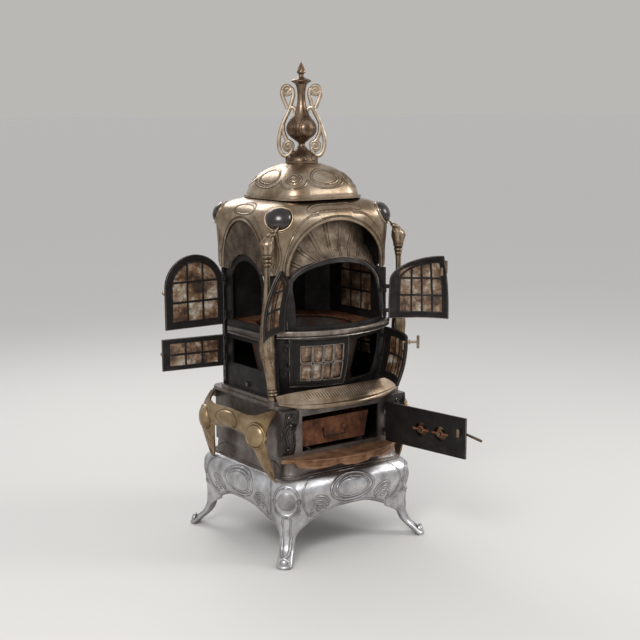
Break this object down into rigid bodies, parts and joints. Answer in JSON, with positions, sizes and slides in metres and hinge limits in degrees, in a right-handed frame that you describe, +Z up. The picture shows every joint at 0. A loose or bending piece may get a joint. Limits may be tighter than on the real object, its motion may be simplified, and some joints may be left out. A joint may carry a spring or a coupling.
{
  "type": "cast iron parlor stove",
  "caption": "Square cast iron parlor stove with mica doors, plated skirt, foot rails, ash drawer, arched canopy and urn finial.",
  "frame": {"origin": "on the floor under the middle of the square base", "axes": "+Z up, -Y the way the front doors face, +X to the right of someone who faces the back wall from the front doors"},
  "size_m": [0.8419, 0.9188, 1.62],
  "materials": {
    "skirt_silver": "worn nickel, polished",
    "nickel_warm": "worn nickel, warm and dull",
    "rail_brass": "worn plating over brass tone",
    "boss_gunmetal": "dark plated iron, smooth",
    "iron_black": "stove blacked iron, matt",
    "iron_rust": "rusted iron, matt",
    "mica": "smoked mica sheet",
    "finial_bronze": "copper bronze tone, satin",
    "handle_pale": "pale plated, satin"
  },
  "bodies": {
    "stove": {"leg_front_left": "skirt_silver", "leg_front_right": "skirt_silver", "leg_back_left": "skirt_silver", "leg_back_right": "skirt_silver", "skirt_panels": "skirt_silver", "base_plate": "iron_black", "ash_pit_body": "iron_black", "hearth_ledge": "iron_rust", "foot_rail_left": "rail_brass", "foot_rail_right": "rail_brass", "mid_ring": "iron_black", "front_apron": "nickel_warm", "front_frame": "iron_black", "side_frame_left": "iron_black", "side_frame_right": "iron_black", "back_panel": "iron_black", "flue_collar": "iron_black", "fire_pot": "iron_rust", "pot_ring": "iron_rust", "corner_columns": "nickel_warm", "canopy": "nickel_warm", "fan_panels": "nickel_warm", "corner_bosses": "boss_gunmetal", "top_plate": "iron_black"},
    "upper_right_door": {"door_upper_right": "iron_black", "mica_upper_right": "mica"},
    "upper_left_door": {"door_upper_left": "iron_black", "mica_upper_left": "mica"},
    "lower_right_door": {"door_lower_right": "iron_black", "mica_lower_right": "mica"},
    "lower_left_door": {"door_lower_left": "iron_black", "mica_lower_left": "mica"},
    "upper_right_handle": {"handle_upper_right": "nickel_warm"},
    "lower_right_handle": {"handle_lower_right": "nickel_warm"},
    "side_upper_left_door": {"door_side_upper_left": "iron_black", "mica_side_upper_left": "mica"},
    "side_upper_left_button": {"button_side_upper_left": "nickel_warm"},
    "side_lower_left_door": {"door_side_lower_left": "iron_black", "mica_side_lower_left": "mica"},
    "side_lower_left_button": {"button_side_lower_left": "nickel_warm"},
    "side_upper_right_door": {"door_side_upper_right": "iron_black", "mica_side_upper_right": "mica"},
    "side_upper_right_button": {"button_side_upper_right": "nickel_warm"},
    "side_lower_right_door": {"door_side_lower_right": "iron_black", "mica_side_lower_right": "mica"},
    "side_lower_right_button": {"button_side_lower_right": "nickel_warm"},
    "ash_door": {"ash_door": "iron_black"},
    "ash_door_handle": {"ash_door_handle": "nickel_warm"},
    "draft_wheel_left": {"draft_wheel_left": "nickel_warm"},
    "draft_wheel_right": {"draft_wheel_right": "nickel_warm"},
    "ash_pan": {"ash_pan": "iron_rust"},
    "ash_pan_bail": {"ash_pan_bail": "iron_rust"},
    "dome": {"dome": "nickel_warm", "finial_urn": "finial_bronze", "finial_handles": "handle_pale"},
    "feed_cover": {"feed_cover": "iron_black"},
    "grate": {"grate": "iron_rust", "grate_shaft": "iron_rust"},
    "damper": {"damper_plate": "iron_black"}
  },
  "joints": [
    {"name": "upper_right_door_swing", "type": "hinge", "parent": "stove", "child": "upper_right_door", "pos_m": [0.206, -0.18849, 0.868], "axis": [0, 0, 1], "range_deg": [-120, 5]},
    {"name": "upper_left_door_swing", "type": "hinge", "parent": "stove", "child": "upper_left_door", "pos_m": [-0.206, -0.18849, 0.868], "axis": [0, 0, -1], "range_deg": [-124, 3]},
    {"name": "lower_right_door_swing", "type": "hinge", "parent": "stove", "child": "lower_right_door", "pos_m": [0.206, -0.18849, 0.648], "axis": [0, 0, 1], "range_deg": [-53, 60]},
    {"name": "lower_left_door_swing", "type": "hinge", "parent": "stove", "child": "lower_left_door", "pos_m": [-0.206, -0.18849, 0.648], "axis": [0, 0, -1], "range_deg": [0, 100]},
    {"name": "upper_right_handle_turn", "type": "hinge", "parent": "upper_right_door", "child": "upper_right_handle", "pos_m": [0.33603, -0.33872, 0.936], "axis": [-0.8478, -0.5303, 0], "range_deg": [0, 90]},
    {"name": "lower_right_handle_turn", "type": "hinge", "parent": "lower_right_door", "child": "lower_right_handle", "pos_m": [0.1444, -0.38499, 0.712], "axis": [-0.8194, 0.5733, 0], "range_deg": [0, 90]},
    {"name": "side_upper_left_door_swing", "type": "hinge", "parent": "stove", "child": "side_upper_left_door", "pos_m": [-0.2384, 0.128, 0.867], "axis": [0, 0, -1], "range_deg": [-90, 15]},
    {"name": "side_upper_left_button_turn", "type": "hinge", "parent": "side_upper_left_door", "child": "side_upper_left_button", "pos_m": [-0.4614, 0.128, 0.866], "axis": [0, -1, 0], "range_deg": [0, 90]},
    {"name": "side_lower_left_door_swing", "type": "hinge", "parent": "stove", "child": "side_lower_left_door", "pos_m": [-0.2384, 0.128, 0.654], "axis": [0, 0, -1], "range_deg": [-98, 10]},
    {"name": "side_lower_left_button_turn", "type": "hinge", "parent": "side_lower_left_door", "child": "side_lower_left_button", "pos_m": [-0.45923, 0.15904, 0.654], "axis": [-0.1392, -0.9903, 0], "range_deg": [0, 90]},
    {"name": "side_upper_right_door_swing", "type": "hinge", "parent": "stove", "child": "side_upper_right_door", "pos_m": [0.2384, 0.128, 0.867], "axis": [0, 0, 1], "range_deg": [0, 100]},
    {"name": "side_upper_right_button_turn", "type": "hinge", "parent": "side_upper_right_door", "child": "side_upper_right_button", "pos_m": [0.2384, -0.095, 0.866], "axis": [1, 0, 0], "range_deg": [0, 90]},
    {"name": "side_lower_right_door_swing", "type": "hinge", "parent": "stove", "child": "side_lower_right_door", "pos_m": [0.2384, 0.128, 0.654], "axis": [0, 0, 1], "range_deg": [0, 100]},
    {"name": "side_lower_right_button_turn", "type": "hinge", "parent": "side_lower_right_door", "child": "side_lower_right_button", "pos_m": [0.2384, -0.095, 0.654], "axis": [1, 0, 0], "range_deg": [0, 90]},
    {"name": "ash_door_swing", "type": "hinge", "parent": "stove", "child": "ash_door", "pos_m": [0.183, -0.2193, 0.409], "axis": [0, 0, 1], "range_deg": [-99.5, 8]},
    {"name": "ash_door_handle_turn", "type": "hinge", "parent": "ash_door", "child": "ash_door_handle", "pos_m": [0.23106, -0.54889, 0.418], "axis": [0.9863, 0.165, 0], "range_deg": [0, 90]},
    {"name": "draft_wheel_left_turn", "type": "hinge", "parent": "ash_door", "child": "draft_wheel_left", "pos_m": [0.21719, -0.46604, 0.408], "axis": [0.9863, 0.165, 0], "range_deg": [0, 360]},
    {"name": "draft_wheel_right_turn", "type": "hinge", "parent": "ash_door", "child": "draft_wheel_right", "pos_m": [0.20366, -0.38516, 0.408], "axis": [0.9863, 0.165, 0], "range_deg": [0, 360]},
    {"name": "ash_pan_slide", "type": "slide", "parent": "stove", "child": "ash_pan", "axis": [0, -1, 0], "range_m": [0, 0.22]},
    {"name": "ash_pan_bail_swing", "type": "hinge", "parent": "ash_pan", "child": "ash_pan_bail", "pos_m": [0, -0.17187, 0.402], "axis": [-1, 0, 0], "range_deg": [0, 150]},
    {"name": "dome_swing", "type": "hinge", "parent": "stove", "child": "dome", "pos_m": [0.112, 0.118, 1.19], "axis": [0, 0, -1], "range_deg": [0, 115]},
    {"name": "feed_cover_lift", "type": "slide", "parent": "stove", "child": "feed_cover", "axis": [0, 0, 1], "range_m": [0, 0.05]},
    {"name": "grate_rock", "type": "hinge", "parent": "stove", "child": "grate", "pos_m": [0, 0, 0.553], "axis": [1, 0, 0], "range_deg": [-12, 12]},
    {"name": "damper_turn", "type": "hinge", "parent": "stove", "child": "damper", "pos_m": [0, 0.229, 1.01], "axis": [-1, 0, 0], "range_deg": [0, 90]}
  ]
}
